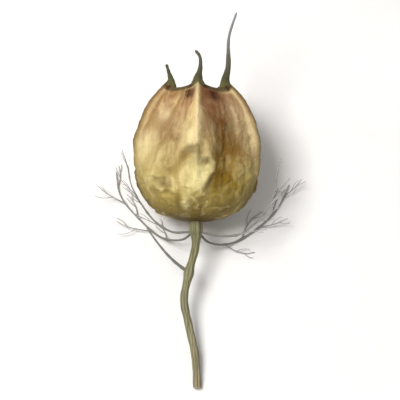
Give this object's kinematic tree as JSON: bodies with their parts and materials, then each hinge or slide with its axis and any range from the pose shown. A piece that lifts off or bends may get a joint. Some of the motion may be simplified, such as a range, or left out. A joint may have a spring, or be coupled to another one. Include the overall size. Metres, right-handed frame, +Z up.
{
  "type": "nigella seed pod",
  "caption": "Dry love-in-a-mist seed pod: an inflated, ribbed capsule with horn-like styles, a ring of thread-like bracts and a short bent stem, lying on its side.",
  "frame": {"origin": "on the small flat spot under the capsule's belly where the pod rests on the surface", "axes": "+Y runs along the pod from the stem's cut end to the styles, +Z is up from the surface, +X is to the right as seen from above with the styles pointing away"},
  "size_m": [0.0385, 0.0659, 0.0237],
  "materials": {
    "capsule_wall": "dry papery plant wall, straw with a mauve-brown flush, faint sheen",
    "stem": "dry olive stalk, ribbed, matte",
    "bract": "dry olive-grey threads, matte"
  },
  "bodies": {
    "root": {"capsule": "capsule_wall", "stem": "stem", "bract_left": "bract", "bract_right": "bract", "bract_under_left": "bract", "bract_under_right": "bract", "stem_leaf": "bract"}
  },
  "joints": []
}
